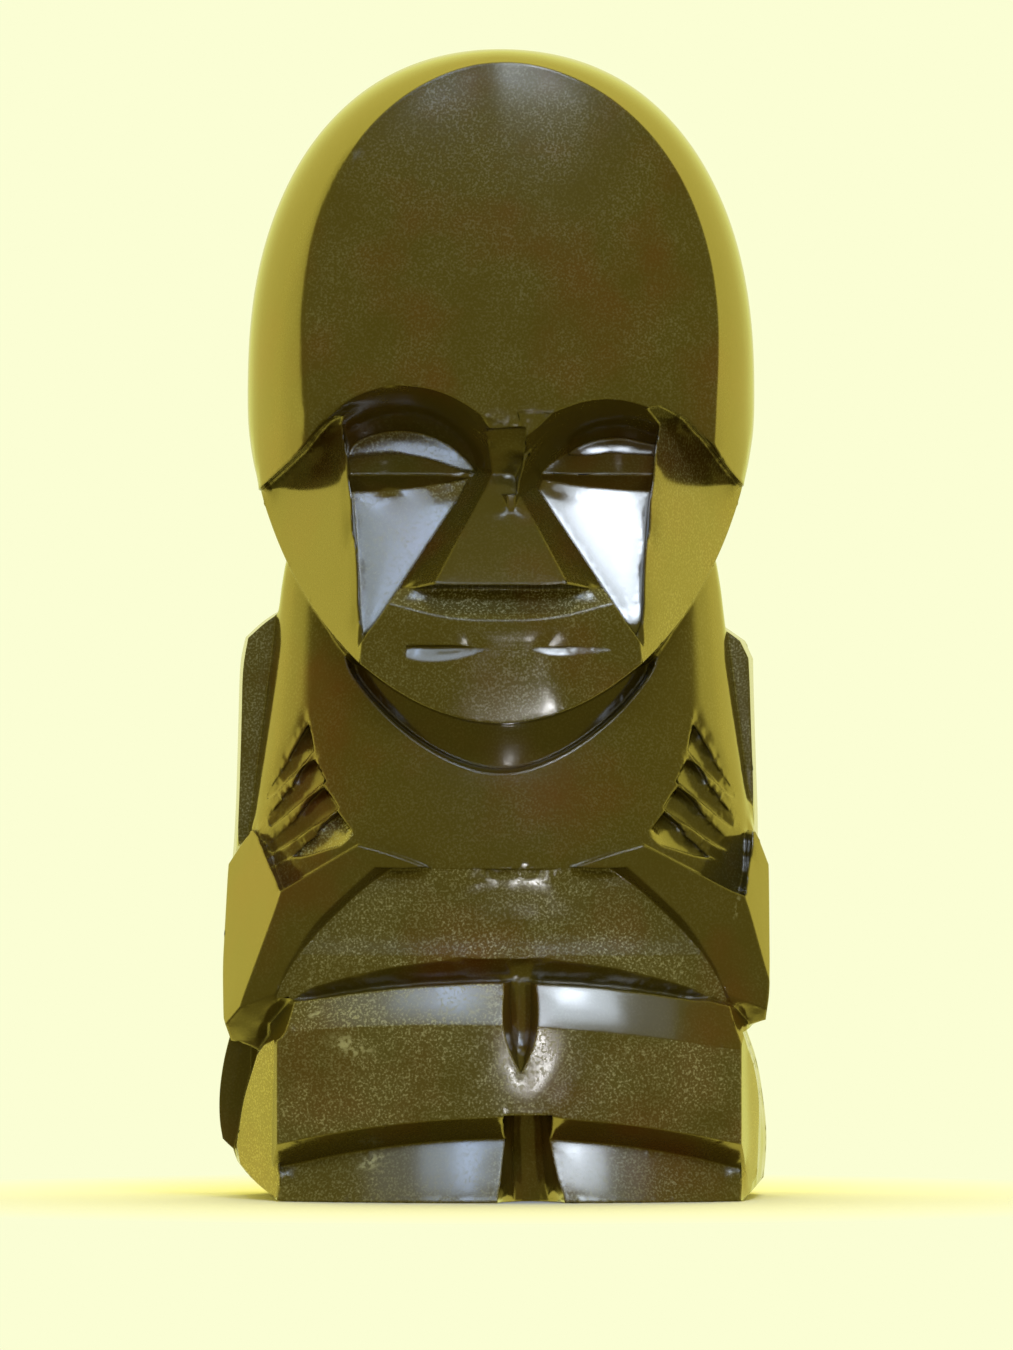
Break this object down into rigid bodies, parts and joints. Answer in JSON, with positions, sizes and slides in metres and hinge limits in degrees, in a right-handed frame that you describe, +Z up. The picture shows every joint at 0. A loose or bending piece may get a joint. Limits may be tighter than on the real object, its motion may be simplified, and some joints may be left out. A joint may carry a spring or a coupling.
{
  "type": "obsidian statuette",
  "caption": "Small polished obsidian statuette of a squatting idol with a large egg-shaped head and folded arms.",
  "frame": {"origin": "on the underside the figure stands on, under the middle of the head and halfway front to back", "axes": "+Z up from the underside to the crown, -Y towards the viewer that the face looks at, +X to the viewer's right"},
  "size_m": [0.0623, 0.041, 0.13],
  "materials": {
    "obsidian": "polished volcanic glass, near black with an olive brown tone"
  },
  "bodies": {
    "root": {"obsidian_statuette": "obsidian"}
  },
  "joints": []
}
